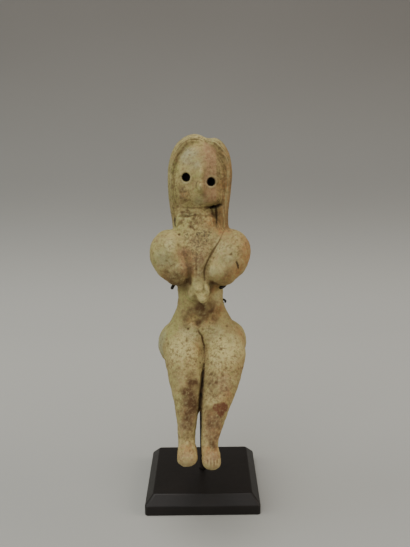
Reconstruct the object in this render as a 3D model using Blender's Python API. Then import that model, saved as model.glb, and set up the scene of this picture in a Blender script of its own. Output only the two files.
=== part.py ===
"""A seated woman modelled by hand in clay and fired, held over a bevelled wooden block by a bent rod.

Axes: +X is the viewer's right, the figure faces -Y, +Z is up. The origin is on the block's underside,
under the rod. Sizes are in metres. The figure's own lengths are written in clay units, of which its
height holds 115, so that one clay unit is one millimetre on a figure 115 mm tall.
"""

import math

import bmesh
import bpy
import numpy as np
from mathutils import Matrix, Vector
from mathutils.bvhtree import BVHTree

# Wooden block
BLOCK_WIDTH = 0.045
BLOCK_DEPTH = 0.045
BLOCK_EDGE_HEIGHT = 0.0039
BLOCK_BEVEL_HEIGHT = 0.0036
BLOCK_BEVEL_INSET = 0.0032
BLOCK_CORNER_RADIUS = 0.0012
BLOCK_HEIGHT = BLOCK_EDGE_HEIGHT + BLOCK_BEVEL_HEIGHT

# Rod and the wires brazed to it
ROD_DIAMETER = 0.0020
ROD_SOCKET_DEPTH = 0.005
ROD_BEND_RADIUS = 0.016
CRADLE_WIRE_DIAMETER = 0.0013
PROP_WIRE_DIAMETER = 0.0009
FIT_GAP = 0.0003

# Figure
FIGURE_HEIGHT = 0.115
FIGURE_LIFT = 0.022
CLAY = FIGURE_HEIGHT / 115
CLAY_VOXEL = 0.55 * CLAY
CLAY_TRIANGLES = 7600
SMOOTHING_PASSES = 7

# Heights of the wires on the figure, in clay units, and how many degrees round it each one bends
CRADLE_HEIGHT = 59.3
CRADLE_LEFT_BEND = 84
CRADLE_RIGHT_BEND = 124
CRADLE_LEFT_TIP_Y = -12.4
CRADLE_LEFT_TIP_DROP = 0.4
CRADLE_LEFT_TIP_SPREAD = 0.6
PROP_HEIGHT = 52.2
PROP_BEND = 98


def clear_scene():
    for obj in list(bpy.data.objects):
        bpy.data.objects.remove(obj, do_unlink=True)


def finish(name, colour, roughness, metallic=0.0):
    """A Principled material of one plain finish."""
    material = bpy.data.materials.new(name)
    material.use_nodes = True
    shader = material.node_tree.nodes["Principled BSDF"]
    shader.inputs["Base Color"].default_value = (*colour, 1.0)
    shader.inputs["Roughness"].default_value = roughness
    shader.inputs["Metallic"].default_value = metallic
    return material


def add_object(name, mesh, material=None):
    obj = bpy.data.objects.new(name, mesh)
    bpy.context.scene.collection.objects.link(obj)
    if material:
        mesh.materials.append(material)
    return obj


def mesh_from(name, bm):
    bmesh.ops.recalc_face_normals(bm, faces=bm.faces)
    mesh = bpy.data.meshes.new(name)
    bm.to_mesh(mesh)
    bm.free()
    return mesh


def evaluated_mesh(obj):
    """A plain mesh of the object as its modifiers leave it."""
    bpy.context.view_layer.update()
    graph = bpy.context.evaluated_depsgraph_get()
    return bpy.data.meshes.new_from_object(obj.evaluated_get(graph))


def cutter(name, mesh, target):
    """A hidden object that is taken away from the target."""
    tool = add_object(name, mesh)
    tool.hide_render = True
    tool.display_type = "WIRE"
    cut = target.modifiers.new(name, "BOOLEAN")
    cut.operation = "DIFFERENCE"
    cut.solver = "EXACT"
    cut.object = tool


def smooth_path(points, steps):
    """A Catmull-Rom curve through rows of numbers, with this many steps between two rows."""
    rows = np.array(points, float)
    padded = np.vstack([2 * rows[0] - rows[1], rows, 2 * rows[-1] - rows[-2]])
    t = (np.arange(steps) / steps)[:, None]
    spans = []
    for a, b, c, d in zip(padded, padded[1:], padded[2:], padded[3:]):
        bend = (2 * a - 5 * b + 4 * c - d) * t**2 + (3 * b - a - 3 * c + d) * t**3
        spans.append(b + 0.5 * ((c - a) * t + bend))
    return np.vstack([*spans, rows[-1:]])


# Clay


def lump(bm, centre, radii, lean=0):
    """A ball of clay pressed to three half widths, leaning to +X by some degrees, in clay units."""
    place = (
        Matrix.Translation(Vector(centre))
        @ Matrix.Rotation(math.radians(lean), 4, "Y")
        @ Matrix.Diagonal((*radii, 1.0))
    )
    bmesh.ops.create_icosphere(bm, subdivisions=4, radius=1.0, matrix=place)


def roll(bm, stations, across, sides=28, steps=6):
    """A roll of clay along stations of (x, y, z, half width along across, half width the other way)."""
    rows = smooth_path(stations, steps)
    across = Vector(across)
    turns = [2 * math.pi * i / sides for i in range(sides)]
    rings = []
    for row, before, after in zip(rows, [rows[0], *rows[:-1]], [*rows[1:], rows[-1]]):
        other = Vector(after[:3] - before[:3]).cross(across).normalized()
        offsets = [across * row[3] * math.cos(a) + other * row[4] * math.sin(a) for a in turns]
        rings.append([bm.verts.new(Vector(row[:3]) + offset) for offset in offsets])
    for low, high in zip(rings, rings[1:]):
        for i in range(sides):
            j = (i + 1) % sides
            bm.faces.new((low[i], low[j], high[j], high[i]))
    bm.faces.new(reversed(rings[0]))
    bm.faces.new(rings[-1])
    for row in (rows[0], rows[-1]):
        lump(bm, row[:3], [row[3] if part else row[4] for part in across])


def torso(bm):
    roll(
        bm,
        [
            (-1.8, -3.6, 92.0, 6.8, 5.4),
            (-1.9, -4.2, 85.0, 7.2, 5.7),
            (-0.8, -5.6, 79.5, 9.2, 6.6),
            (0.0, -6.8, 74.0, 12.5, 7.4),
            (0.0, -7.2, 67.5, 12.0, 7.6),
            (0.0, -7.0, 61.0, 9.4, 6.8),
            (0.1, -7.0, 55.5, 8.7, 6.4),
            (0.2, -7.2, 50.5, 9.2, 6.8),
            (0.3, -7.4, 45.5, 11.6, 7.6),
            (0.3, -7.2, 40.5, 14.2, 8.2),
            (0.4, -7.0, 35.5, 12.5, 7.6),
        ],
        across=(1, 0, 0),
    )


def breasts(bm):
    """Each side is one rounded mass of shoulder, arm and breast, leaning in towards the boss."""
    lump(bm, (-10.4, -9.0, 70.6), (8.2, 9.2, 10.0), lean=-14)
    lump(bm, (-7.6, -12.0, 66.2), (6.6, 6.6, 6.4), lean=-20)
    lump(bm, (10.8, -9.0, 70.5), (8.2, 9.2, 10.1), lean=18)
    lump(bm, (8.0, -12.2, 66.2), (6.9, 6.7, 6.5), lean=20)


def collar(bm):
    """The applied band that narrows from the neck down between the breasts and ends in a lobed boss."""
    roll(
        bm,
        [
            (-1.6, -6.6, 86.0, 7.0, 3.6),
            (-0.6, -9.0, 79.5, 8.4, 3.8),
            (-0.4, -12.6, 72.0, 6.2, 3.6),
            (-0.6, -14.8, 65.5, 3.8, 3.0),
            (-0.8, -14.6, 60.5, 3.0, 2.4),
        ],
        across=(1, 0, 0),
    )
    lump(bm, (-0.4, -14.5, 59.8), (3.7, 3.0, 3.1))
    lump(bm, (2.2, -14.8, 59.2), (1.7, 2.5, 2.6))
    lump(bm, (1.1, -14.4, 56.3), (2.3, 3.0, 3.1), lean=8)
    lump(bm, (-2.5, -13.3, 57.2), (2.3, 2.5, 3.0), lean=20)


def head(bm):
    lump(bm, (0.5, -5.0, 100.6), (9.2, 7.4, 11.4))
    lump(bm, (0.0, -5.2, 94.6), (9.2, 7.0, 6.2))
    lump(bm, (-3.6, -5.0, 93.2), (5.4, 6.2, 4.4))
    lump(bm, (4.0, -5.0, 93.4), (5.2, 6.2, 4.5))
    lump(bm, (0.8, -11.0, 100.0), (1.2, 2.8, 4.6), lean=2)
    lump(bm, (0.7, -12.0, 96.8), (1.6, 3.2, 2.3))


def hair(bm):
    """A mass behind the head and two rolls that part over the brow and hang to the shoulders."""
    lump(bm, (0.4, -0.4, 98.5), (11.4, 6.6, 15.2))
    lump(bm, (0.2, 0.2, 88.0), (10.2, 4.6, 9.5))
    lump(bm, (6.9, -3.2, 84.6), (2.5, 3.6, 6.0))
    roll(
        bm,
        [
            (2.4, -3.4, 112.0, 3.6, 1.8),
            (-1.6, -3.6, 113.4, 4.0, 2.0),
            (-6.8, -3.8, 110.4, 4.4, 1.9),
            (-9.5, -4.0, 103.5, 4.6, 1.8),
            (-9.8, -4.0, 96.0, 4.6, 1.8),
            (-9.5, -3.4, 89.5, 4.2, 1.8),
            (-8.8, -1.8, 84.0, 3.4, 1.7),
            (-8.2, -1.0, 77.0, 3.0, 1.7),
        ],
        across=(0, 1, 0),
    )
    roll(
        bm,
        [
            (3.0, -3.4, 111.4, 3.6, 1.7),
            (6.4, -3.6, 111.9, 4.0, 1.9),
            (9.5, -3.8, 108.2, 4.4, 1.9),
            (10.8, -4.0, 101.5, 4.6, 1.8),
            (10.3, -4.4, 94.5, 4.6, 1.8),
            (9.3, -5.4, 88.5, 3.8, 2.0),
            (8.9, -6.0, 83.5, 3.6, 2.1),
            (9.0, -6.6, 78.0, 3.2, 2.2),
        ],
        across=(0, 1, 0),
    )


def legs(bm):
    """Two tapering legs that run forward and down, and the seat behind them."""
    lump(bm, (-8.5, -3.8, 34.4), (8.4, 8.2, 9.4))
    lump(bm, (9.4, -4.0, 35.4), (8.6, 8.2, 8.8))
    roll(
        bm,
        [
            (-7.6, -8.0, 37.0, 8.0, 8.6),
            (-6.3, -14.5, 32.2, 7.6, 8.0),
            (-5.6, -20.6, 26.6, 6.6, 7.0),
            (-5.15, -26.4, 19.8, 4.95, 5.7),
            (-5.2, -30.8, 12.8, 3.5, 4.5),
            (-5.3, -34.0, 7.8, 3.15, 3.7),
            (-5.05, -37.4, 4.8, 3.65, 3.1),
            (-5.0, -39.3, 3.3, 3.85, 2.65),
        ],
        across=(1, 0, 0),
    )
    roll(
        bm,
        [
            (8.8, -8.2, 37.0, 8.2, 8.4),
            (9.1, -14.5, 31.8, 7.9, 7.8),
            (7.8, -20.6, 26.0, 7.0, 7.0),
            (5.9, -26.4, 19.4, 5.6, 5.7),
            (4.1, -30.8, 12.4, 4.0, 4.5),
            (3.0, -34.2, 7.0, 3.2, 3.7),
            (3.4, -37.8, 3.7, 3.45, 3.1),
            (3.6, -39.9, 2.3, 3.5, 2.7),
        ],
        across=(1, 0, 0),
    )


def press(points, normals, path, width, way):
    """Vertex positions after a stick is pressed along a line of (x, z, depth), along +Y or -Y."""
    line = smooth_path(path, 14)
    deepest = np.zeros(len(points))
    for x, z, depth in line:
        away = ((points[:, 0] - x) ** 2 + (points[:, 2] - z) ** 2) / width**2
        deepest = np.maximum(deepest, depth * np.exp(-away))
    facing = np.clip(-1.4 * way * normals[:, 1], 0, 1)
    return points + np.outer(way * deepest * facing, (0, 1, 0))


def pressed_lines(points, normals):
    """The lines drawn in the soft clay, on the front and then on the back."""
    under_chin = [(-8.4, 88.9, 0.2), (-3.0, 88.5, 0.5), (3.0, 88.5, 0.9), (6.0, 88.8, 1.6), (8.6, 90.2, 0.6)]
    beside_lock = [(6.0, 88.6, 0.8), (6.2, 84.0, 1.5), (6.3, 79.5, 0.3)]
    beside_right_breast = [(10.3, 79.6, 0.2), (7.6, 75.6, 1.3), (4.9, 70.9, 1.6), (2.3, 66.4, 1.6), (2.2, 61.5, 0.6)]
    beside_left_breast = [(-8.0, 79.0, 0.2), (-6.8, 74.0, 0.8), (-4.6, 69.0, 1.0), (-3.8, 62.5, 1.2)]
    between_thighs = [(-0.9, 44.5, 0.0), (-0.3, 41.5, 0.7), (1.3, 37.0, 1.0), (1.5, 31.0, 0.8), (0.9, 24.0, 1.0)]
    under_belly = [(-8.5, 48.5, 0.0), (-4.5, 47.0, 0.6), (0.5, 46.6, 0.8), (5.5, 47.4, 0.5), (8.5, 48.5, 0.0)]
    round_face = [
        (-9.2, 91.0, 0.0),
        (-8.8, 97.0, 0.4),
        (-8.3, 103.5, 0.6),
        (-5.4, 108.9, 0.5),
        (0.6, 111.3, 0.3),
        (6.0, 109.0, 0.5),
        (9.2, 103.0, 0.6),
        (9.4, 96.0, 0.5),
        (8.6, 91.0, 0.4),
    ]
    cleft = [(0.6, 46.0, 0.0), (0.5, 40.0, 2.0), (0.5, 32.0, 2.0), (0.5, 25.0, 1.2)]
    points = press(points, normals, under_chin, 0.75, 1)
    points = press(points, normals, beside_lock, 0.75, 1)
    points = press(points, normals, beside_right_breast, 0.7, 1)
    points = press(points, normals, beside_left_breast, 1.3, 1)
    points = press(points, normals, between_thighs, 1.0, 1)
    points = press(points, normals, under_belly, 1.8, 1)
    points = press(points, normals, round_face, 0.7, 1)
    return press(points, normals, cleft, 1.3, -1)


def eye_sockets():
    """Two holes pushed into the face with a stick, a little taller than they are wide."""
    eye_half_width, eye_half_height, eye_depth = 1.45, 1.65, 4.4
    bm = bmesh.new()
    for x, z in ((-4.5, 99.9), (4.6, 98.2)):
        place = (
            Matrix.Translation((x, -12.0, z))
            @ Matrix.Diagonal((eye_half_width, 1, eye_half_height, 1))
            @ Matrix.Rotation(math.pi / 2, 4, "X")
        )
        bmesh.ops.create_cone(
            bm, cap_ends=True, segments=18, radius1=1.0, radius2=0.85, depth=2 * eye_depth, matrix=place
        )
    return mesh_from("eye_sockets", bm)


def to_figure_place(mesh):
    """Takes a mesh from clay units to its real size, with the toes at their height over the block."""
    mesh.transform(
        Matrix.Translation((0, 0, BLOCK_HEIGHT + FIGURE_LIFT)) @ Matrix.Scale(CLAY, 4)
    )
    return mesh


def fuse(mesh, voxel, passes):
    """One skin round all the lumps, softened where they meet."""
    rough = add_object("clay_lumps", mesh)
    remesh = rough.modifiers.new("fuse", "REMESH")
    remesh.mode = "VOXEL"
    remesh.voxel_size = voxel
    soften = rough.modifiers.new("soften", "SMOOTH")
    soften.factor = 0.5
    soften.iterations = passes
    fused = evaluated_mesh(rough)
    bpy.data.objects.remove(rough)
    return fused


def make_figure(material):
    bm = bmesh.new()
    for shape in (torso, breasts, collar, head, hair, legs):
        shape(bm)
    mesh = fuse(mesh_from("figurine", bm), CLAY_VOXEL / CLAY, SMOOTHING_PASSES)
    points = np.array([vertex.co[:] for vertex in mesh.vertices])
    normals = np.array([vertex.normal[:] for vertex in mesh.vertices])
    mesh.vertices.foreach_set("co", pressed_lines(points, normals).ravel())
    mesh.update()
    figure = add_object("figurine", to_figure_place(mesh), material)
    thin = figure.modifiers.new("fewer faces", "DECIMATE")
    thin.ratio = CLAY_TRIANGLES / (2 * len(mesh.polygons))
    cutter("eye_sockets", to_figure_place(eye_sockets()), figure)
    return figure


# Stand


def make_block(material):
    """A square block with a bevel round its top and a blind hole for the rod."""
    bm = bmesh.new()
    bmesh.ops.create_cube(bm, size=1.0)
    bmesh.ops.scale(bm, vec=(BLOCK_WIDTH, BLOCK_DEPTH, BLOCK_EDGE_HEIGHT), verts=bm.verts)
    bmesh.ops.translate(bm, vec=(0, 0, BLOCK_EDGE_HEIGHT / 2), verts=bm.verts)
    upright = [e for e in bm.edges if abs(e.verts[0].co.z - e.verts[1].co.z) > BLOCK_EDGE_HEIGHT / 2]
    bmesh.ops.bevel(bm, geom=upright, offset=BLOCK_CORNER_RADIUS, segments=4, profile=0.5, affect="EDGES")
    top = max(bm.faces, key=lambda face: face.calc_center_median().z)
    raised = bmesh.ops.extrude_discrete_faces(bm, faces=[top])["faces"][0]
    bmesh.ops.translate(bm, vec=(0, 0, BLOCK_BEVEL_HEIGHT), verts=raised.verts)
    shrink = (1 - 2 * BLOCK_BEVEL_INSET / BLOCK_WIDTH, 1 - 2 * BLOCK_BEVEL_INSET / BLOCK_DEPTH, 1)
    bmesh.ops.scale(bm, vec=shrink, verts=raised.verts)
    block = add_object("base_block", mesh_from("base_block", bm), material)
    hole = bmesh.new()
    bmesh.ops.create_cone(
        hole,
        cap_ends=True,
        segments=24,
        radius1=ROD_DIAMETER / 2 + FIT_GAP,
        radius2=ROD_DIAMETER / 2 + FIT_GAP,
        depth=2 * (ROD_SOCKET_DEPTH + FIT_GAP),
        matrix=Matrix.Translation((0, 0, BLOCK_HEIGHT)),
    )
    cutter("rod_socket", mesh_from("rod_socket", hole), block)
    return block


def figure_height(clay_z):
    return BLOCK_HEIGHT + FIGURE_LIFT + clay_z * CLAY


def wire_mesh(name, path, diameter, resolution):
    """A round wire along a path, as a closed mesh."""
    curve = bpy.data.curves.new(name, "CURVE")
    curve.dimensions = "3D"
    curve.bevel_depth = diameter / 2
    curve.bevel_resolution = resolution
    curve.use_fill_caps = True
    spline = curve.splines.new("POLY")
    spline.points.add(len(path) - 1)
    for point, place in zip(spline.points, path):
        point.co = (*place, 1.0)
    guide = add_object(name, curve)
    mesh = evaluated_mesh(guide)
    bpy.data.objects.remove(guide)
    bm = bmesh.new()
    bm.from_mesh(mesh)
    bmesh.ops.remove_doubles(bm, verts=bm.verts, dist=1e-6)
    return mesh_from(name, bm)


def rod_path(skin, top):
    """Straight up from the block, then as close behind the seat and back as the rod bends."""
    radius = ROD_DIAMETER / 2
    bottom = BLOCK_HEIGHT - ROD_SOCKET_DEPTH
    heights = np.linspace(bottom, top, 44)
    probes = np.linspace(BLOCK_HEIGHT, top, 160)
    behind = np.zeros(len(probes))
    for i, z in enumerate(probes):
        for x in (-radius, 0, radius):
            hit = skin.ray_cast(Vector((x, FIGURE_HEIGHT, z)), Vector((0, -1, 0)))[0]
            if hit:
                behind[i] = max(behind[i], hit.y + radius + FIT_GAP)
    bow = behind[None, :] - (heights[:, None] - probes[None, :]) ** 2 / (2 * ROD_BEND_RADIUS)
    return [Vector((0, max(0.0, y), z)) for y, z in zip(bow.max(axis=1), heights)]


def wire_path(skin, height, start, end, radius, rod_y):
    """Round the body at one height, from one angle to another, where 0 is straight behind."""
    centre = Vector((0, -7 * CLAY, height))
    path = []
    for degrees in np.linspace(start, end, 1 + abs(end - start) // 7):
        way = Vector((math.sin(math.radians(degrees)), math.cos(math.radians(degrees)), 0))
        hit = skin.ray_cast(centre + way * FIGURE_HEIGHT, -way)[0]
        point = hit + way * (radius + FIT_GAP)
        at_rod = math.exp(-((degrees / 16) ** 2))
        point.y += (max(rod_y, point.y) - point.y) * at_rod
        path.append(clear_of_clay(skin, point, radius + FIT_GAP))
    return path


def straight_prong(skin, start, tip_y, radius):
    """Points from a slightly bent-down tip straight back to where a wire starts to go round the body."""
    steps = 6
    tip = Vector((start.x - CRADLE_LEFT_TIP_SPREAD * CLAY, tip_y, start.z - CRADLE_LEFT_TIP_DROP * CLAY))
    return [clear_of_clay(skin, tip.lerp(start, i / steps), radius + FIT_GAP) for i in range(steps)]


def clear_of_clay(skin, point, distance):
    """The point moved out until it is this far from the figure."""
    for _ in range(8):
        surface, normal, _, _ = skin.find_nearest(point)
        if (point - surface).dot(normal) < distance:
            point = surface + normal * distance * 1.02
    return point


def make_rod(figure, material):
    """The rod with its cradle wire under the breasts and one thin prop at the waist, brazed into one."""
    bpy.context.view_layer.update()
    skin = BVHTree.FromObject(figure, bpy.context.evaluated_depsgraph_get())
    cradle_z, prop_z = figure_height(CRADLE_HEIGHT), figure_height(PROP_HEIGHT)
    path = rod_path(skin, cradle_z + ROD_DIAMETER / 2)
    rod = add_object("support_rod", wire_mesh("rod", path, ROD_DIAMETER, 4), material)
    wires = (
        ("cradle", cradle_z, -CRADLE_LEFT_BEND, CRADLE_RIGHT_BEND, CRADLE_WIRE_DIAMETER / 2),
        ("prop", prop_z, 0, PROP_BEND, PROP_WIRE_DIAMETER / 2),
    )
    for name, height, start, end, radius in wires:
        rod_y = min(path, key=lambda point: abs(point.z - height)).y
        around = wire_path(skin, height, start, end, radius, rod_y)
        if name == "cradle":
            around = straight_prong(skin, around[0], CRADLE_LEFT_TIP_Y * CLAY, radius) + around
        wire = add_object(name + "_wire", wire_mesh(name, around, 2 * radius, 2))
        wire.hide_render = True
        wire.display_type = "WIRE"
        braze = rod.modifiers.new(name, "BOOLEAN")
        braze.operation = "UNION"
        braze.solver = "EXACT"
        braze.object = wire
    return rod


def main():
    clear_scene()
    clay = finish("fired_clay", (0.47, 0.38, 0.22), 0.85)
    black_wood = finish("blackened_wood", (0.020, 0.017, 0.015), 0.45)
    black_steel = finish("blackened_steel", (0.015, 0.015, 0.016), 0.5, 0.8)
    figure = make_figure(clay)
    make_block(black_wood)
    make_rod(figure, black_steel)


main()
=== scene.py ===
"""A seated woman in worn buff clay, held over a black bevelled block, in soft studio light.

Lengths on the figure are in millimetres, in the model's frame: +X is the viewer's right, the
figure faces -Y, +Z is up and the block stands on z = 0. The studio is in metres.
"""

import math

import bmesh
import bpy
import numpy as np
from mathutils import Matrix, Vector, noise


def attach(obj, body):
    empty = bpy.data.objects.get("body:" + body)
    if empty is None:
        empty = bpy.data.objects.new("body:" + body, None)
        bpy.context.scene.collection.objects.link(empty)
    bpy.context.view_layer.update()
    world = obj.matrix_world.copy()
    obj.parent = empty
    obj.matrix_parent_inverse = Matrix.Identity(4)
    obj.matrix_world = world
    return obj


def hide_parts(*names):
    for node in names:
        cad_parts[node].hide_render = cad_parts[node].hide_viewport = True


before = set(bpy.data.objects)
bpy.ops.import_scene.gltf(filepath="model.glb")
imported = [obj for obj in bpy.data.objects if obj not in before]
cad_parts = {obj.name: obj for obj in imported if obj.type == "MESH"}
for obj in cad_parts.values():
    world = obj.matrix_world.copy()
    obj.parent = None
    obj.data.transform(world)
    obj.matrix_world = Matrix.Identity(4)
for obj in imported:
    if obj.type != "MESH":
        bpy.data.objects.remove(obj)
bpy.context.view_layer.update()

MM = 0.001

CLAY_VOXEL = 0.385 * MM
ROD_VOXEL = 0.17 * MM

# Camera, found from the block's corners
CAMERA_PLACE = (2.43 * MM, -249.2 * MM, 145.5 * MM)
CAMERA_PITCH = 12.3
CAMERA_YAW = 0.11
CAMERA_ROLL = -0.7
FOCAL_PIXELS = 650.8
PHOTO_HEIGHT = 547
SENSOR_WIDTH = 36.0

# Faces of the block that stay flat when its arrises are rounded
FLAT_FACE_AREA = 8 * MM * MM
LEVEL_NORMAL = 0.9999

# The head, in millimetres. Above ARCH_START the outlines of face and hair close as arches
EYES = ((-4.5, 129.4), (4.6, 127.7))
EYE_RADIUS = 1.55
ARCH_START = 129
FACE_MIDDLE = 0.6
FACE_HALF_WIDTH = 8.9
FACE_RISE = 12.9
FACE_SQUARENESS = 2.4
HEAD_HALF_WIDTH = 11.8
HEAD_RISE = 15.5
FACE_EDGE = [
    (-9.0, 120.0),
    (-8.8, 126.5),
    (-8.2, 133.0),
    (-5.4, 138.2),
    (0.6, 140.6),
    (6.0, 138.4),
    (9.2, 132.5),
    (9.4, 125.5),
    (8.9, 121.6),
]
STRAND_WIDTH = 1.1
STRAND_DEPTH = 0.09
PAINTED_STRAND_WIDTH = 0.92

BAND_PITCH = 1.9
PIT_COUNT = 900


# Mesh helpers


def new_object(name, mesh):
    obj = bpy.data.objects.new(name, mesh)
    bpy.context.scene.collection.objects.link(obj)
    return obj


def evaluated_mesh(obj):
    bpy.context.view_layer.update()
    graph = bpy.context.evaluated_depsgraph_get()
    mesh = bpy.data.meshes.new_from_object(obj.evaluated_get(graph))
    mesh.name = obj.name
    return mesh


def welded_copy(node, name):
    """A piece with the node's shape, whose faces share their corners again."""
    bm = bmesh.new()
    bm.from_mesh(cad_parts[node].data)
    bmesh.ops.remove_doubles(bm, verts=bm.verts, dist=0.001 * MM)
    mesh = bpy.data.meshes.new(name)
    bm.to_mesh(mesh)
    bm.free()
    mesh.materials.clear()
    return new_object(name, mesh)


def fine_copy(node, name, voxel, passes, levels=1):
    """The node's shape with a fine, even skin and its flat faces rounded away."""
    rough = welded_copy(node, name + "_rough")
    if levels:
        rounded = rough.modifiers.new("rounded", "SUBSURF")
        rounded.levels = rounded.render_levels = levels
    skin = rough.modifiers.new("skin", "REMESH")
    skin.mode = "VOXEL"
    skin.voxel_size = voxel
    soft = rough.modifiers.new("soft", "SMOOTH")
    soft.factor = 0.5
    soft.iterations = passes
    mesh = evaluated_mesh(rough)
    mesh.name = name
    bpy.data.objects.remove(rough)
    return new_object(name, mesh)


def read_points(mesh):
    """Vertex positions in millimetres and vertex normals."""
    points = np.empty(len(mesh.vertices) * 3)
    mesh.vertices.foreach_get("co", points)
    normals = np.empty(len(mesh.vertices) * 3)
    mesh.vertices.foreach_get("normal", normals)
    return points.reshape(-1, 3) / MM, normals.reshape(-1, 3)


def write_points(mesh, points):
    mesh.vertices.foreach_set("co", (points * MM).ravel())
    mesh.update()


def neighbour_mean(mesh, values, passes):
    """Each vertex's value after averaging with its neighbours a few times."""
    ends = np.empty(len(mesh.edges) * 2, np.int64)
    mesh.edges.foreach_get("vertices", ends)
    a, b = ends.reshape(-1, 2).T
    count = np.bincount(np.concatenate([a, b]), minlength=len(values))[:, None]
    values = np.array(values, float).reshape(len(values), -1)
    for _ in range(passes):
        total = np.zeros_like(values)
        for column in range(values.shape[1]):
            total[:, column] = np.bincount(a, values[b, column], len(values))
            total[:, column] += np.bincount(b, values[a, column], len(values))
        values = 0.5 * values + 0.5 * total / count
    return values


def cloud(points, size, seed=0.0, detail=1):
    """Smooth noise between about -1 and 1 with lumps of this size in millimetres."""
    shift = Vector((seed * 7.3, seed * 3.1, seed * 5.7))
    total = np.zeros(len(points))
    for octave in range(detail):
        places = points / size * 2**octave
        layer = [noise.noise(Vector(place) + shift) for place in places]
        total += np.array(layer) / 2**octave
    return np.clip(1.5 * total, -1, 1)


def smoothstep(low, high, x):
    t = np.clip((x - low) / (high - low), 0, 1)
    return t * t * (3 - 2 * t)


def smooth_path(rows, steps=14):
    """A Catmull-Rom curve through rows of numbers."""
    rows = np.array(rows, float)
    padded = np.vstack([2 * rows[0] - rows[1], rows, 2 * rows[-1] - rows[-2]])
    t = (np.arange(steps) / steps)[:, None]
    spans = []
    for a, b, c, d in zip(padded, padded[1:], padded[2:], padded[3:]):
        bend = (2 * a - 5 * b + 4 * c - d) * t**2 + (3 * b - a - 3 * c + d) * t**3
        spans.append(b + 0.5 * ((c - a) * t + bend))
    return np.vstack([*spans, rows[-1:]])


# The clay


class Clay:
    """The clay figure's skin while it is worked: its points, and the marks left on them."""

    def __init__(self, mesh):
        self.mesh = mesh
        self.points, self.normals = read_points(mesh)
        self.marks = {}

    def mark(self, name, amount):
        """Keeps the stronger of what was there and this amount."""
        old = self.marks.get(name, np.zeros(len(self.points)))
        self.marks[name] = np.maximum(old, np.clip(amount, 0, 1))

    def facing(self, way):
        """How squarely each point faces the front (1) or the back (-1)."""
        return np.clip(-1.4 * way * self.normals[:, 1], 0, 1)

    def line(self, path, width, way=1):
        """Depth of a stick pressed along rows of (x, z, depth), from the front or the back."""
        x, z = self.points[:, 0], self.points[:, 2]
        deepest = np.zeros(len(x))
        rows = smooth_path(path)
        close = (np.abs(x - rows[:, 0].mean()) < np.ptp(rows[:, 0]) / 2 + 3 * width + 2) & (
            np.abs(z - rows[:, 1].mean()) < np.ptp(rows[:, 1]) / 2 + 3 * width + 2
        )
        for row_x, row_z, depth in rows:
            away = ((x[close] - row_x) ** 2 + (z[close] - row_z) ** 2) / width**2
            deepest[close] = np.maximum(deepest[close], depth * np.exp(-away))
        return deepest * self.facing(way)

    def ridge(self, path, width):
        """Clay pinched forward along rows of (x, z, height)."""
        self.points[:, 1] -= self.line(path, width)

    # Can darken the deepest part of a groove: dirt, and painted shade in narrow slits
    def groove(self, path, width, way=1, grime_and_shade=0.0):
        depth = self.line(path, width, way)
        self.points[:, 1] += way * depth
        if grime_and_shade:
            self.mark("grime_and_shade", grime_and_shade * smoothstep(0.15, 0.75, depth / max(row[2] for row in path)))

    def push(self, amount):
        """Moves the skin out along its normals by these millimetres."""
        self.points += self.normals * np.asarray(amount)[:, None]

    def blob(self, centre, radius):
        """1 at a centre, falling softly to 0 at about one and a half radii."""
        away = np.linalg.norm(self.points - np.array(centre), axis=1) / radius
        return 1 - smoothstep(0.35, 1.5, away)

    def spot_behind(self, x, z, radius):
        """Like blob, on the back only and at any depth."""
        away = np.hypot(self.points[:, 0] - x, self.points[:, 2] - z) / radius
        return (1 - smoothstep(0.35, 1.5, away)) * self.facing(-1)

    # Can also darken its middle: dirt in the pits, and painted shade under the nose
    def dent(self, centre, radius, depth, grime_and_shade=0.0):
        away = np.linalg.norm(self.points - np.array(centre), axis=1)
        near = away < 2.6 * radius
        shape = np.zeros(len(away))
        shape[near] = np.exp(-((away[near] / radius) ** 2))
        self.points -= self.normals * (depth * shape)[:, None]
        if grime_and_shade:
            self.mark("grime_and_shade", grime_and_shade * smoothstep(0.2, 0.8, shape))

    def near(self, path, width):
        """1 on the front along rows of (x, z), falling to 0 at this width from them."""
        x, z = self.points[:, 0], self.points[:, 2]
        closest = np.full(len(x), 99.0)
        for row_x, row_z in smooth_path(path):
            closest = np.minimum(closest, np.hypot(x - row_x, z - row_z))
        return (1 - smoothstep(0.4 * width, width, closest)) * (self.normals[:, 1] < 0.4)

    def fill(self, share, passes):
        """Presses clay into the hollows where share is above 0, and leaves what stands proud."""
        for _ in range(passes):
            pull = neighbour_mean(self.mesh, self.points, 2) - self.points
            lift = (pull * self.normals).sum(axis=1)
            self.points += self.normals * (share * np.clip(lift, 0, None))[:, None]

    def rub(self, share, passes):
        """Smooths the skin where share is above 0."""
        for _ in range(passes):
            pull = neighbour_mean(self.mesh, self.points, 1) - self.points
            self.points += share[:, None] * pull

    def settle(self):
        """Takes the new normals after the skin has moved."""
        write_points(self.mesh, self.points)
        self.points, self.normals = read_points(self.mesh)

    def store(self):
        write_points(self.mesh, self.points)
        for name, amount in self.marks.items():
            layer = self.mesh.attributes.new(name, "FLOAT", "POINT")
            layer.data.foreach_set("value", amount.astype(np.float32))


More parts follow.
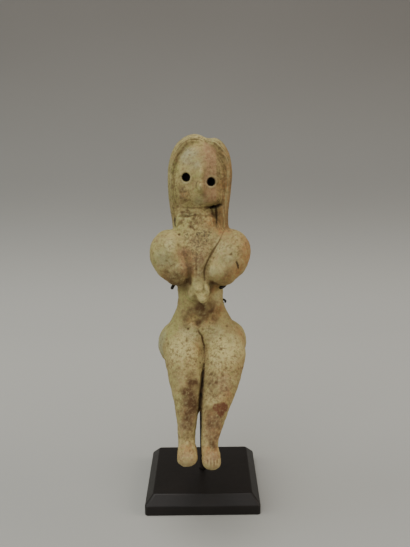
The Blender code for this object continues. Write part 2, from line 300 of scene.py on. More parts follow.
def hair_share(points):
    """1 on the hair rolls and the hair behind the head, 0 on face, neck and body, soft between."""
    x, y, z = points.T
    rise = np.clip((z - ARCH_START) / FACE_RISE, 0, None)
    across = np.abs((x - FACE_MIDDLE) / FACE_HALF_WIDTH)
    oval = (across**FACE_SQUARENESS + rise**FACE_SQUARENESS) ** (1 / FACE_SQUARENESS)
    in_face = (1 - smoothstep(0.95, 1.04, oval)) * (1 - smoothstep(-6.5, -4.5, y))
    head = smoothstep(118.6, 120.0, z) * (1 - in_face)
    left_lock = (1 - smoothstep(-9.4, -8.8, x)) * smoothstep(111.0, 112.5, z)
    right_lock = smoothstep(6.3, 6.9, x) * (1 - smoothstep(11.6, 12.4, x))
    right_lock *= smoothstep(109.0, 110.4, z)
    behind = smoothstep(0.6, 1.6, y) * smoothstep(112.0, 114.0, z)
    return np.clip(np.maximum.reduce([head, left_lock, right_lock, behind]), 0, 1)


def strand_rows(points, normals):
    """A length in millimetres that grows across the strands, which lie along its contours."""
    x, y, z = points.T
    rise = np.clip(z - ARCH_START, 0, None)
    ring = HEAD_HALF_WIDTH * np.hypot((x - FACE_MIDDLE) / HEAD_HALF_WIDTH, rise / HEAD_RISE)
    half_width = HEAD_HALF_WIDTH * np.sqrt(np.clip(1 - (rise / HEAD_RISE) ** 2, 0.12, 1))
    combed_down = 2 * HEAD_HALF_WIDTH - HEAD_HALF_WIDTH * np.abs(x - FACE_MIDDLE) / half_width
    outward = np.where(normals[:, 1] < 0, ring, combed_down)
    forward = 1 - smoothstep(0.0, 0.6, normals[:, 1])
    return outward + y * forward + 0.35 * cloud(points, 5.0, seed=4)


def soften_cast(clay):
    """Hair flush with the face, a finer nose and shallower lines than the first skin has."""
    clay.fill(clay.near(FACE_EDGE, 2.6), 62)
    clay.fill(clay.near([(-8.6, 118.4), (-3.0, 118.0), (1.5, 118.0)], 1.5), 19)
    beside_neck = clay.near([(7.4, 117.4), (6.9, 114.6), (6.6, 110.4)], 2.6)
    beside_neck *= clay.points[:, 1] < 4
    clay.points[:, 1] -= beside_neck * np.clip(clay.points[:, 1] + 6.4, 0, None)
    clay.rub(beside_neck, 16)
    clay.fill(beside_neck, 23)
    band_edge = [(9.8, 109.0), (7.4, 105.0), (4.9, 100.4), (2.5, 96.2), (2.2, 91.5)]
    clay.fill(clay.near(band_edge, 1.7), 43)
    clay.fill(clay.near([(-0.9, 74.6), (-0.3, 71.0), (1.3, 66.4), (1.5, 60.5)], 2.2), 70)
    clay.rub(clay.blob((0.8, -12.6, 127.0), 2.6), 20)


def comb_hair(clay):
    share = hair_share(clay.points)
    rows = strand_rows(clay.points, clay.normals)
    valley = 0.5 + 0.5 * np.cos(rows * 2 * math.pi / STRAND_WIDTH)
    clay.push(-STRAND_DEPTH * share * valley)
    clay.marks["hair"] = share
    clay.marks["strand"] = rows


# Lines drawn in the soft clay: width, grime and painted shade in the line, and rows of (x, z,
# depth)
DRAWN_LINES = (
    # Where hair and face meet, and the parting
    (0.45, 0.12, [(8.9, 122.0, 0.2), (9.3, 127.0, 0.15), (9.0, 132.5, 0.2), (6.2, 138.0, 0.15)]),
    (0.45, 0.1, [(-4.6, 139.0, 0.05), (0.4, 140.4, 0.15), (5.4, 139.0, 0.15), (7.4, 136.4, 0.1)]),
    (0.5, 0.3, [(1.6, 143.6, 0.1), (2.6, 142.3, 0.5), (3.4, 140.8, 0.15)]),
    # Chin, with a deep slit at its right end, and both sides of the neck
    # The grime in the chin slit and beside the neck is painted shade in the slit and the gaps
    (0.45, 0.3, [(-8.3, 118.3, 0.1), (-3.0, 118.0, 0.3), (2.3, 117.9, 0.5)]),
    (0.45, 0.95, [(2.3, 117.9, 0.5), (4.9, 117.8, 1.2), (7.6, 118.7, 1.1), (8.4, 119.3, 0.2)]),
    (0.42, 0.85, [(6.3, 117.6, 0.8), (6.5, 114.8, 0.7), (6.4, 110.6, 0.3)]),
    (0.42, 0.95, [(-9.0, 114.6, 0.1), (-9.2, 112.6, 0.6), (-8.9, 110.6, 0.4)]),
    # Right edge of the chest band, and the faint line down its middle
    # The grime along the band's right edge is painted shade under that edge
    (
        0.34,
        0.48,
        [
            (9.5, 109.9, 0.3),
            (8.6, 108.4, 0.5),
            (6.7, 105.3, 0.5),
            (4.5, 101.8, 0.55),
            (2.5, 98.4, 0.6),
            (1.8, 95.8, 0.6),
            (1.8, 92.2, 0.4),
        ],
    ),
    (0.4, 0.3, [(-1.2, 101.4, 0.1), (-1.2, 98.0, 0.3), (-1.2, 93.6, 0.2)]),
    # Inner side of the left mass
    (0.8, 0.0, [(-9.0, 109.6, 0.1), (-7.9, 105.3, 0.3), (-5.5, 100.1, 0.35), (-3.6, 94.6, 0.5)]),
    (0.7, 0.6, [(-3.4, 94.5, 0.3), (-3.6, 91.5, 0.6), (-3.4, 89.6, 0.2)]),
    # Nick and scratch on the right mass
    (0.27, 1.0, [(13.2, 99.9, 0.1), (13.9, 98.0, 0.4), (14.3, 96.0, 0.1)]),
    (0.4, 0.3, [(12.6, 101.2, 0.05), (11.4, 101.9, 0.2), (10.6, 101.6, 0.05)]),
    # Between the thighs, then down to the shins
    # The grime between the thighs is painted shade in the gap between the legs
    (
        0.3,
        0.85,
        [
            (-0.9, 73.4, 0.1),
            (-0.6, 72.0, 0.4),
            (0.5, 70.2, 0.45),
            (0.8, 68.6, 0.5),
            (1.4, 66.6, 0.4),
        ],
    ),
    (0.32, 0.5, [(1.4, 66.6, 0.3), (1.5, 62.7, 0.25), (1.2, 60.2, 0.4)]),
    (
        0.5,
        0.9,
        [
            (1.1, 60.6, 0.5),
            (0.8, 58.6, 1.2),
            (0.4, 55.0, 1.8),
            (-0.1, 51.2, 1.9),
            (-0.5, 46.6, 1.6),
        ],
    ),
)

# Parts of those lines too deep for light: width, strength, and rows of (x, z)
RAGGED_SHADOWS = (
    (0.62, 1.0, [(0.8, 58.6), (0.4, 54.7), (-0.1, 51.3), (-0.5, 47.0)]),
    (0.6, 0.9, [(4.4, 117.7), (6.4, 117.9), (8.2, 118.9)]),
    (0.5, 0.5, [(6.3, 117.0), (6.5, 114.8), (6.4, 112.4)]),
)
CLEAN_SHADOWS = (
    (0.34, 0.7, [(13.5, 99.2), (13.9, 98.0), (14.2, 96.6)]),
    (0.5, 0.7, [(-9.1, 113.8), (-9.2, 112.6), (-9.0, 111.4)]),
)
HAIR_END_BEHIND = [
    (-10.0, 113.6, 0.2),
    (-5.0, 111.6, 0.5),
    (1.0, 111.0, 0.6),
    (7.0, 111.8, 0.5),
    (10.6, 113.4, 0.2),
]


def press_drawn_lines(clay):
    """The drawn lines, sharper than the smoothing leaves them, and painted shade inside the
    deepest.
    """
    for width, grime_and_shade, path in DRAWN_LINES:
        clay.groove(path, width, grime_and_shade=grime_and_shade)
    # Painted shade in the gap between the legs
    between_legs = [(0.7, 58.0), (0.3, 54.7), (-0.1, 51.2), (-0.5, 46.4)]
    clay.mark("grime_and_shade", 0.8 * clay.near(between_legs, 1.2))
    ragged = np.clip(0.75 + 0.5 * cloud(clay.points, 1.3, seed=17), 0, 1)
    for width, strength, path in RAGGED_SHADOWS:
        clay.mark("deep", clay.near(path, width) * strength * ragged)
    for width, strength, path in CLEAN_SHADOWS:
        clay.mark("deep", clay.near(path, width) * strength)
    clay.groove(HAIR_END_BEHIND, 0.8, way=-1, grime_and_shade=0.4)
    clay.groove([(-6.0, 69.7, 0.05), (-5.2, 69.3, 0.25), (-4.5, 69.0, 0.05)], 0.4, grime_and_shade=0.55)
    clay.groove([(-2.4, 68.2, 0.05), (-1.4, 67.0, 0.2), (-0.6, 66.1, 0.05)], 0.4, grime_and_shade=0.4)


def shape_boss(clay):
    """The boss under the neck band, pinched into uneven knobs."""
    lumpy = clay.blob((0.4, -16.0, 87.6), 3.4)
    knobs = 0.3 * cloud(clay.points, 1.9, seed=31) + 0.12 * cloud(clay.points, 0.9, seed=32)
    clay.push(lumpy * knobs)
    clay.ridge([(-2.4, 92.0, 0.2), (-1.6, 90.4, 0.5), (-1.4, 88.8, 0.3)], 0.9)
    clay.ridge([(2.4, 89.4, 0.5), (2.9, 87.6, 0.6)], 0.8)
    clay.ridge([(0.8, 86.0, 0.2), (1.5, 84.4, 0.7), (1.9, 83.0, 0.8), (2.0, 82.2, 0.5)], 1.3)
    clay.ridge([(-3.4, 86.4, 0.4), (-3.2, 84.4, 0.4)], 0.9)
    clay.groove([(1.4, 91.2, 0.1), (1.5, 89.4, 0.35), (0.8, 88.0, 0.2)], 0.5, grime_and_shade=0.25)
    clay.groove([(-2.2, 87.2, 0.1), (-1.5, 85.6, 0.35), (-0.6, 84.0, 0.25)], 0.6, grime_and_shade=0.3)
    clay.groove([(0.6, 86.8, 0.1), (1.8, 86.2, 0.3), (3.2, 86.0, 0.2)], 0.4, grime_and_shade=0.25)


def shape_neck_band(clay):
    """Rough clay of the applied neck band, with two faint lines drawn across it."""
    x, y, z = clay.points.T
    on_neck = smoothstep(109.4, 110.6, z) * (1 - smoothstep(117.0, 118.0, z))
    on_neck *= smoothstep(-9.4, -8.6, x) * (1 - smoothstep(5.2, 5.9, x)) * clay.facing(1)
    waver = 0.9 * cloud(clay.points, 2.2, seed=9)
    ridge = np.cos((z + waver) * 2 * math.pi / BAND_PITCH)
    ridge *= smoothstep(-0.4, 0.6, cloud(clay.points, 3.4, seed=12))
    lumps = cloud(clay.points, 1.5, seed=2)
    clay.push(on_neck * (0.07 * ridge + 0.15 * lumps + 0.07 * cloud(clay.points, 0.8, seed=6)))
    # Darker in the low parts of the band's ridges and lumps: dirt, and painted shade
    low_dirt_and_shade = 0.3 * smoothstep(0.1, 1.0, -ridge) + 0.55 * smoothstep(0.15, 0.8, -lumps)
    clay.mark("grime_and_shade", on_neck * low_dirt_and_shade)
    clay.groove([(-8.0, 116.2, 0.1), (-5.5, 116.5, 0.3), (-3.4, 116.2, 0.1)], 0.34, grime_and_shade=0.5)
    lower_line = [(-8.4, 115.0, 0.1), (-4.8, 114.9, 0.3), (-0.5, 115.4, 0.15), (2.0, 115.0, 0.05)]
    clay.groove(lower_line, 0.34, grime_and_shade=0.4)


def shape_eyes(clay):
    """A raised rim round each punched eye, fuller at its lower left, and the dark inside it."""
    x, y, z = clay.points.T
    for eye_x, eye_z in EYES:
        away = np.hypot((x - eye_x) / 0.93, z - eye_z)
        rim = np.exp(-(((away - EYE_RADIUS - 0.5) / 0.34) ** 2)) * clay.facing(1) * (y < -8.0)
        fuller = smoothstep(-2.5, 1.5, -(x - eye_x) - (z - eye_z))
        clay.push(0.2 * rim * (0.8 + 0.4 * cloud(clay.points, 1.4, seed=eye_x)))
        clay.mark("rim", rim * (0.35 + 0.65 * fuller))
        inside = (1 - smoothstep(EYE_RADIUS - 0.05, EYE_RADIUS + 0.22, away)) * (y < -3.0)
        clay.mark("socket", inside)


def shape_nose(clay):
    """The pinched ridge of the nose, and the shadow at its right wing."""
    bridge = [(0.2, 132.2, 0.1), (0.7, 130.0, 0.3), (1.0, 127.4, 0.55), (1.1, 125.6, 0.6)]
    clay.ridge([*bridge, (1.0, 124.6, 0.1)], 1.0)
    clay.dent((1.9, -12.4, 122.6), 1.4, 0.25, 0.3)


def shape_toes(clay):
    """Worn toes on the right foot, and a rougher instep."""
    toes = (
        (2.1, 34.0, 32.0, 0.16),
        (3.2, 34.9, 31.6, 0.32),
        (4.3, 34.5, 31.3, 0.28),
        (5.5, 34.5, 32.0, 0.2),
    )
    for toe_x, top, bottom, depth in toes:
        middle = (toe_x + 0.1, (top + bottom) / 2, depth)
        clay.groove([(toe_x - 0.3, top, 0.05), middle, (toe_x, bottom, 0.06)], 0.34, grime_and_shade=0.3)
    clay.push(clay.blob((3.8, -40.0, 34.4), 2.6) * 0.16 * cloud(clay.points, 1.0, seed=41))


# Pits the photograph shows: (x, y, z), radius, depth and grime
NAMED_PITS = (
    ((7.5, -19.7, 66.8), 0.85, 0.34, 0.6),
    ((3.8, -25.0, 59.1), 0.9, 0.3, 0.55),
    ((5.6, -27.8, 56.9), 0.7, 0.4, 0.75),
    ((3.1, -26.9, 56.1), 0.6, 0.3, 0.6),
    ((8.0, -26.5, 59.0), 0.55, 0.25, 0.6),
    ((7.4, -16.5, 69.9), 0.5, 0.25, 0.55),
    ((-4.6, -14.5, 73.1), 0.6, 0.3, 0.7),
    ((-12.3, -15.9, 67.7), 0.5, 0.25, 0.5),
    ((-8.3, -34.4, 39.0), 0.75, 0.4, 0.75),
    ((-8.0, -33.6, 41.2), 0.4, 0.2, 0.5),
    ((-7.4, -11.9, 108.6), 0.5, 0.35, 0.9),
    ((-2.6, -4.0, 141.9), 0.45, 0.4, 0.95),
    ((7.7, -9.5, 130.6), 0.5, 0.2, 0.6),
    ((-1.2, -16.5, 99.0), 0.35, 0.3, 0.9),
    ((-1.1, -17.5, 96.6), 0.4, 0.3, 0.8),
)


def weather(clay):
    """Hand-worked unevenness and the small pits of a long time in the ground."""
    body = 1 - 0.6 * clay.marks["hair"]
    clay.push(body * 0.16 * cloud(clay.points, 4.5, seed=1, detail=2))
    clay.push(body * 0.08 * cloud(clay.points, 1.1, seed=3, detail=2))
    for centre, radius, depth, grime_and_shade in NAMED_PITS:
        clay.dent(centre, radius, depth, grime_and_shade)
    rng = np.random.default_rng(7)
    x, y, z = clay.points.T
    shoulders = (z > 100) & (z < 111)
    left_cheek = (z > 121) & (z < 128) & (x < -2)
    likely = 0.25 + 1.0 * (z < 76) + 0.7 * shoulders + 0.8 * left_cheek
    likely = likely * (1 - 0.7 * clay.marks["hair"])
    chosen = rng.choice(len(x), PIT_COUNT, replace=False, p=likely / likely.sum())
    centres = clay.points[chosen].copy()
    radii = 0.2 + 0.4 * rng.random(len(chosen)) ** 3
    grimes = rng.random(len(chosen))
    for centre, radius, grime_and_shade in zip(centres, radii, grimes):
        clay.dent(centre, radius, 0.3 * radius, 0.05 + 0.45 * grime_and_shade**2)


# Soft patches of tint, some of them painted shade and some painted highlights: (x, y, z), radius
# and strength
TINTS = {
    "green": (
        ((-13.0, -10.0, 73.0), 8.0, 0.85),
        ((-10.0, -16.0, 66.0), 6.0, 0.6),
        ((-8.5, -24.0, 58.0), 4.5, 0.7),
        ((-8.0, -30.5, 51.0), 3.2, 1.0),
        ((-7.6, -33.5, 45.0), 2.6, 0.7),
        ((-5.5, -12.0, 84.5), 4.4, 0.9),
        ((-3.9, -15.5, 85.4), 2.2, 1.0),
        ((-1.2, -17.4, 89.0), 2.8, 0.9),
        ((1.6, -17.4, 87.0), 2.4, 0.8),
        ((-14.8, -13.0, 103.0), 6.5, 0.7),
        ((-13.0, -9.0, 109.0), 4.0, 0.7),
        ((-10.5, -6.0, 133.0), 4.4, 1.0),
        ((-10.5, -6.0, 124.0), 4.5, 1.0),
        ((-8.6, -8.0, 138.0), 3.0, 0.8),
        ((-8.0, -9.5, 112.0), 3.4, 1.0),
        ((-4.0, -9.5, 114.0), 3.0, 0.7),
        ((8.5, -5.0, 141.0), 2.6, 0.9),
        ((4.5, -6.0, 142.5), 2.4, 0.8),
        ((-5.0, -5.0, 142.5), 3.4, 0.8),
        ((9.0, -17.0, 66.0), 5.0, 0.4),
        ((0.0, -13.0, 130.0), 1.8, 0.8),
        ((0.6, -13.0, 125.6), 1.8, 0.7),
        ((6.0, -32.0, 50.0), 2.4, 0.5),
        ((4.4, -28.0, 55.0), 3.4, 0.6),
    ),
    "rust": (
        ((7.2, -9.5, 124.5), 4.5, 0.5),
        ((12.0, -6.0, 131.0), 4.2, 1.0),
        ((12.0, -6.0, 121.0), 5.0, 1.0),
        ((11.0, -5.0, 138.0), 3.4, 0.8),
        ((9.5, -8.0, 113.0), 3.8, 1.0),
        ((4.6, -10.0, 113.5), 2.6, 1.0),
        ((9.0, -11.0, 110.5), 3.0, 0.9),
        ((17.6, -12.0, 101.5), 6.0, 1.0),
        ((14.0, -17.0, 96.0), 4.5, 0.9),
        ((10.0, -16.0, 93.6), 3.4, 0.9),
        ((6.6, -11.5, 84.0), 3.4, 0.3),
        ((6.6, -12.0, 80.0), 3.0, 0.8),
        ((7.4, -16.0, 103.0), 4.0, 0.35),
        ((11.0, -7.0, 126.0), 4.6, 0.9),
        ((8.6, -9.0, 116.0), 3.4, 0.9),
        ((-5.2, -39.6, 35.0), 3.8, 0.7),
        ((3.8, -39.6, 35.0), 3.8, 0.8),
        ((6.4, -13.0, 88.0), 2.4, 1.0),
        ((15.5, -11.0, 68.0), 4.0, 0.8),
        ((13.0, -18.0, 60.0), 4.5, 0.5),
        ((9.0, -29.0, 52.0), 3.4, 0.6),
        ((5.0, -36.0, 41.0), 4.0, 0.9),
        ((3.0, -34.0, 46.0), 3.0, 0.7),
        ((-4.6, -16.0, 101.0), 3.4, 0.8),
        ((-4.0, -16.8, 96.4), 3.0, 1.0),
        ((-0.5, -15.0, 112.2), 2.6, 0.6),
        ((-12.0, -14.0, 94.0), 3.0, 0.6),
        ((-8.9, -8.0, 137.0), 1.8, 0.5),
        ((-2.2, -17.5, 66.0), 2.6, 0.5),
        ((-6.0, -11.5, 122.5), 2.4, 0.6),
        ((-2.0, -40.0, 33.5), 1.6, 0.6),
        ((-4.6, -33.0, 47.0), 2.6, 0.7),
        ((3.0, -18.5, 66.5), 1.2, 0.6),
        ((-3.0, -14.0, 76.0), 3.0, 0.6),
        ((4.0, -14.0, 77.0), 3.0, 0.6),
    ),
    # Pale clay, and painted highlights on the two masses, the boss, the waist and the thigh tops
    "pale": (
        ((-3.6, -9.5, 137.4), 4.0, 0.35),
        ((0.6, -4.0, 143.6), 3.4, 0.9),
        ((-4.0, -4.0, 142.8), 3.0, 0.6),
        ((5.4, -4.0, 142.6), 3.0, 0.7),
        ((-1.6, -11.6, 133.2), 3.2, 0.2),
        ((-10.6, -16.2, 106.0), 2.4, 1.0),
        ((-9.8, -17.9, 98.2), 2.2, 0.8),
        ((-13.6, -16.0, 99.0), 2.0, 0.4),
        ((7.4, -15.9, 103.4), 3.6, 0.9),
        ((4.4, -17.6, 95.7), 1.9, 1.0),
        ((9.8, -17.5, 101.0), 4.6, 0.8),
        ((8.0, -18.5, 97.0), 3.0, 0.5),
        ((0.4, -17.4, 89.6), 2.4, 0.8),
        ((0.5, -17.0, 87.0), 4.0, 1.0),
        ((2.0, -16.8, 83.6), 2.0, 1.0),
        ((6.8, -11.5, 84.0), 2.8, 0.8),
        ((13.0, -14.5, 66.0), 4.6, 0.5),
        ((-0.6, -17.6, 90.6), 2.2, 0.8),
        ((2.6, -17.4, 88.0), 1.6, 0.7),
        ((5.5, -15.0, 71.5), 3.6, 1.0),
        ((-4.6, -15.5, 71.0), 3.8, 1.0),
        ((-7.5, -18.0, 66.0), 4.6, 0.9),
        ((3.2, -17.0, 68.5), 2.0, 0.8),
        ((10.0, -18.0, 66.0), 5.6, 0.8),
        ((6.0, -21.0, 63.0), 3.6, 0.7),
        ((-5.0, -40.5, 33.0), 3.0, 0.5),
        ((3.6, -41.0, 33.2), 2.0, 0.2),
        ((5.4, -14.0, 107.0), 2.4, 0.5),
    ),
    # Brown stains, and painted shade under both masses, around the boss and in the belly fold
    "brown": (
        ((-6.4, -15.0, 90.0), 2.2, 0.9),
        ((-6.7, -12.5, 88.6), 2.2, 0.5),
        ((-8.8, -15.0, 90.2), 2.4, 0.75),
        ((6.4, -12.0, 79.4), 2.0, 0.45),
        ((0.5, -13.8, 107.0), 3.0, 0.28),
        ((0.7, -14.1, 79.6), 2.6, 1.0),
        ((-3.2, -32.5, 48.4), 2.4, 1.0),
        ((7.6, -28.5, 56.1), 3.2, 0.18),
        ((-8.3, -26.0, 59.2), 3.0, 0.1),
        ((-7.8, -17.8, 93.8), 2.6, 0.7),
        ((-10.0, -17.5, 93.4), 2.6, 0.5),
        ((0.2, -17.0, 98.1), 2.6, 0.35),
        ((12.2, -6.0, 128.0), 3.4, 0.45),
        ((8.5, -9.3, 114.9), 3.0, 0.35),
        ((-9.4, -15.0, 89.6), 2.0, 0.6),
        ((-4.9, -16.0, 91.6), 1.7, 0.9),
        ((-4.4, -17.0, 94.8), 1.7, 0.4),
        ((4.8, -12.0, 82.4), 1.6, 0.5),
        ((9.6, -8.0, 113.4), 3.2, 0.4),
        ((11.4, -6.0, 119.0), 3.0, 0.25),
        ((-8.0, -15.5, 91.0), 3.5, 0.8),
        ((-11.0, -15.4, 92.4), 3.0, 0.4),
        ((0.4, -14.0, 81.2), 3.0, 1.0),
        ((3.6, -13.6, 80.6), 2.6, 0.9),
        ((-3.0, -13.6, 79.4), 2.2, 0.7),
        ((-5.4, -13.0, 76.6), 1.6, 0.7),
        ((-6.0, -14.0, 74.0), 1.4, 0.5),
        ((1.6, -14.2, 77.4), 2.0, 0.6),
        ((5.4, -13.3, 76.8), 1.8, 0.6),
        ((-0.7, -14.5, 75.6), 1.6, 0.9),
        ((-8.0, -16.0, 92.6), 2.6, 0.5),
        ((5.4, -15.0, 91.2), 2.2, 0.8),
        ((9.0, -16.0, 92.8), 2.6, 0.45),
        ((4.4, -13.5, 88.0), 1.5, 0.7),
        ((-3.4, -26.5, 59.0), 2.2, 0.7),
        ((-2.6, -28.0, 56.4), 2.8, 1.0),
        ((-4.6, -29.6, 54.0), 2.6, 1.0),
        ((-3.4, -29.7, 53.0), 2.8, 1.0),
        ((-3.6, -31.6, 50.0), 3.0, 1.0),
        ((-4.6, -33.0, 47.0), 2.8, 1.0),
        ((-4.8, -34.6, 43.8), 2.4, 0.8),
        ((-4.8, -35.6, 40.0), 1.8, 0.6),
        ((-4.6, -37.5, 36.6), 1.2, 0.5),
        ((3.4, -27.0, 57.4), 3.0, 0.35),
        ((4.4, -29.0, 54.4), 2.4, 0.35),
        ((3.0, -33.5, 47.4), 2.4, 0.6),
        ((4.0, -34.9, 43.9), 3.0, 0.6),
        ((4.0, -36.4, 40.4), 2.6, 0.5),
        ((4.2, -37.8, 37.4), 1.7, 1.0),
        ((-6.6, -10.2, 125.0), 1.8, 0.55),
        ((-6.0, -9.6, 121.8), 1.8, 0.45),
        ((-6.2, -10.0, 116.4), 1.8, 0.6),
        ((5.6, -8.0, 115.6), 1.8, 0.8),
        ((5.4, -9.0, 112.0), 1.5, 0.5),
        ((0.4, -9.5, 111.6), 1.8, 0.5),
        ((-3.0, -17.0, 97.4), 1.6, 0.5),
        ((-8.8, -17.6, 95.0), 1.8, 0.5),
        ((-12.0, -16.6, 95.4), 1.4, 0.6),
        ((10.4, -18.0, 95.0), 2.0, 0.4),
        ((1.9, -13.0, 122.8), 1.4, 0.45),
        ((7.6, -10.0, 130.4), 1.4, 0.4),
        ((-1.9, -35.0, 40.0), 1.0, 0.5),
        ((9.9, -7.0, 122.6), 0.9, 0.6),
    ),
    "worn": (
        ((0.0, -14.0, 104.0), 6.0, 1.0),
        ((0.6, -13.0, 127.0), 2.6, 0.8),
        ((-3.6, -9.6, 137.0), 4.0, 0.35),
        ((5.0, -10.0, 131.0), 5.0, 0.4),
        ((-1.0, -10.0, 113.5), 6.0, 1.0),
        ((-5.5, -10.5, 122.5), 4.0, 1.0),
        ((-9.0, -16.0, 95.0), 5.0, 0.7),
        ((0.0, -13.0, 76.6), 6.4, 1.0),
        ((-7.0, -20.0, 64.0), 8.0, 0.9),
        ((7.0, -22.0, 63.0), 9.0, 1.0),
        ((5.0, -29.0, 54.0), 6.0, 1.0),
        ((-5.0, -31.0, 50.0), 6.0, 0.9),
        ((3.5, -35.0, 42.0), 5.5, 1.0),
        ((-4.0, -36.0, 40.0), 4.5, 0.7),
        ((14.0, -14.0, 104.0), 5.0, 0.6),
        ((-13.0, -13.0, 103.0), 6.0, 0.45),
        ((0.0, -6.0, 141.0), 4.0, 0.3),
        ((-10.0, -6.0, 128.0), 6.0, 0.8),
        ((10.5, -6.0, 126.0), 6.0, 0.7),
    ),
    "red": (
        ((6.0, -32.2, 48.8), 2.0, 1.0),
        ((7.0, -31.9, 48.9), 2.2, 1.0),
        ((8.1, -31.2, 48.8), 2.1, 1.0),
        ((7.0, -32.4, 47.6), 2.1, 1.0),
        ((7.4, -32.6, 46.8), 1.5, 0.9),
    ),
    "cool": (
        ((-3.7, -9.6, 137.3), 3.4, 0.9),
        ((-1.1, -11.6, 134.5), 2.2, 0.6),
        ((-15.9, -7.5, 64.5), 4.6, 0.9),
        ((-14.8, -10.7, 68.8), 3.2, 0.6),
        ((-13.4, -17.0, 101.0), 3.6, 0.4),
        ((0.6, -11.0, 120.6), 2.6, 0.5),
    ),
    # Painted highlights on the boss, the thigh tops, the waist, the neck and the top of the hair
    "bright": (
        ((0.2, -17.2, 88.0), 3.4, 1.0),
        ((1.1, -17.0, 84.5), 2.3, 1.0),
        ((-9.0, -18.8, 67.5), 5.0, 0.55),
        ((-3.2, -19.9, 66.6), 3.0, 0.45),
        ((8.0, -19.5, 66.5), 5.6, 0.6),
        ((13.9, -16.5, 66.0), 4.0, 0.5),
        ((-6.4, -11.5, 83.5), 2.4, 0.35),
        ((3.0, -10.2, 114.6), 2.0, 0.4),
        ((0.7, -6.0, 143.4), 3.4, 0.7),
    ),
    "dusk": (
        ((-14.5, -13.4, 107.4), 3.0, 0.45),
        ((-5.4, -15.4, 101.5), 3.0, 0.9),
        ((-4.4, -16.6, 97.0), 2.8, 1.0),
        ((-3.2, -32.0, 48.4), 3.0, 0.7),
        ((-8.3, -26.0, 59.2), 3.4, 0.4),
        ((7.6, -28.5, 56.1), 4.0, 0.85),
        ((-2.4, -33.0, 47.0), 2.2, 0.8),
        ((-2.4, -34.6, 43.4), 2.0, 0.7),
        ((-5.0, -41.0, 33.6), 3.0, 0.5),
        ((3.8, -41.0, 33.6), 3.0, 0.9),
        ((4.4, -28.5, 54.6), 3.0, 0.45),
        ((4.0, -34.5, 44.0), 3.6, 0.9),
        ((3.6, -36.0, 40.5), 3.2, 0.8),
        ((4.6, -30.0, 53.0), 3.6, 0.5),
        ((3.0, -27.0, 57.0), 3.4, 0.45),
        ((-4.2, -31.0, 51.0), 3.4, 0.8),
        ((-4.8, -34.0, 44.0), 3.2, 0.8),
        ((-4.4, -16.8, 98.0), 3.0, 0.7),
        ((-3.4, -15.6, 102.0), 2.8, 0.5),
        ((1.0, -15.4, 101.0), 3.2, 0.6),
        ((0.0, -14.5, 105.0), 4.0, 0.6),
        ((0.5, -16.0, 99.5), 3.4, 0.8),
        ((1.0, -17.0, 95.0), 2.5, 0.7),
        ((-2.4, -11.0, 136.0), 4.4, 0.35),
        ((5.4, -27.5, 57.0), 3.0, 0.4),
    ),
    "soot": (
        ((0.8, -13.8, 107.6), 3.2, 1.0),
        ((-1.0, -14.6, 104.6), 2.4, 0.9),
        ((2.6, -13.4, 108.6), 2.2, 0.9),
        ((-1.2, -15.6, 101.0), 1.6, 0.9),
        ((-1.2, -16.6, 97.0), 1.3, 0.8),
        ((0.8, -17.0, 95.0), 1.4, 0.4),
        ((-4.6, -12.4, 108.0), 1.8, 0.6),
        ((-4.0, -9.8, 115.0), 2.6, 0.7),
        ((-2.0, -11.0, 112.6), 2.0, 0.6),
        ((-9.8, -6.0, 131.0), 1.8, 0.6),
        ((-0.6, -12.8, 127.2), 1.2, 0.6),
        ((-2.4, -4.6, 142.2), 1.2, 0.5),
        ((-5.8, -10.6, 123.6), 1.8, 0.5),
        ((3.4, -26.0, 58.0), 2.6, 0.4),
    ),
}

# The same on the back: x, z, radius and strength
TINTS_BEHIND = {
    "green": (
        (6.0, 121.0, 4.5, 0.7),
        (-3.0, 89.0, 4.5, 0.6),
        (11.0, 64.0, 4.5, 0.6),
        (-9.0, 134.0, 4.0, 0.6),
    ),
    "rust": (
        (-5.0, 126.0, 5.0, 0.6),
        (6.0, 99.0, 5.5, 0.6),
        (-9.0, 71.0, 5.0, 0.6),
        (1.0, 60.0, 4.0, 0.5),
    ),
    "pale": (
        (-8.0, 66.0, 4.5, 0.8),
        (9.0, 69.0, 4.5, 0.7),
        (-13.0, 101.0, 5.0, 0.6),
        (13.0, 96.0, 4.5, 0.6),
    ),
    "brown": (
        (3.0, 135.0, 2.6, 0.5),
        (-2.0, 105.0, 3.0, 0.6),
        (0.6, 74.0, 3.0, 0.8),
        (-12.0, 91.0, 3.0, 0.5),
    ),
    "worn": (
        (0.0, 130.0, 10.0, 0.8),
        (0.0, 97.0, 11.0, 0.8),
        (-7.0, 67.0, 9.0, 0.9),
        (8.0, 66.0, 8.0, 0.8),
    ),
    "dusk": (
        (-5.0, 114.0, 4.5, 0.6),
        (4.0, 83.0, 4.5, 0.5),
        (5.0, 132.0, 4.0, 0.4),
        (-4.0, 55.0, 5.0, 0.5),
    ),
    "soot": (
        (-3.0, 130.0, 3.0, 0.7),
        (6.0, 76.0, 3.0, 0.8),
        (2.0, 101.0, 3.5, 0.7),
        (8.0, 117.0, 2.6, 0.6),
    ),
}


def stain(clay):
    """Marks where the clay is tinted, some tints being painted shade and some painted highlights,
    each kind of tint with a ragged edge of its own.
    """
    for name, places in TINTS.items():
        ragged = 1 + 0.45 * cloud(clay.points, 2.2, seed=len(name))
        for centre, radius, strength in places:
            clay.mark(name, strength * clay.blob(centre, radius) * ragged)
        for x, z, radius, strength in TINTS_BEHIND.get(name, ()):
            clay.mark(name, strength * clay.spot_behind(x, z, radius) * ragged)


def flush_face(clay):
    """The face is pinkish right of the nose, with a fairly clear border down the brow."""
    x, y, z = clay.points.T
    border = 1.8 + 0.8 * cloud(clay.points, 2.4, seed=21)
    share = smoothstep(-1.3, 1.4, x - border) * smoothstep(118.5, 121.0, z) * (y < -3.0)
    clay.mark("flush", share * (1 - clay.marks["hair"]))


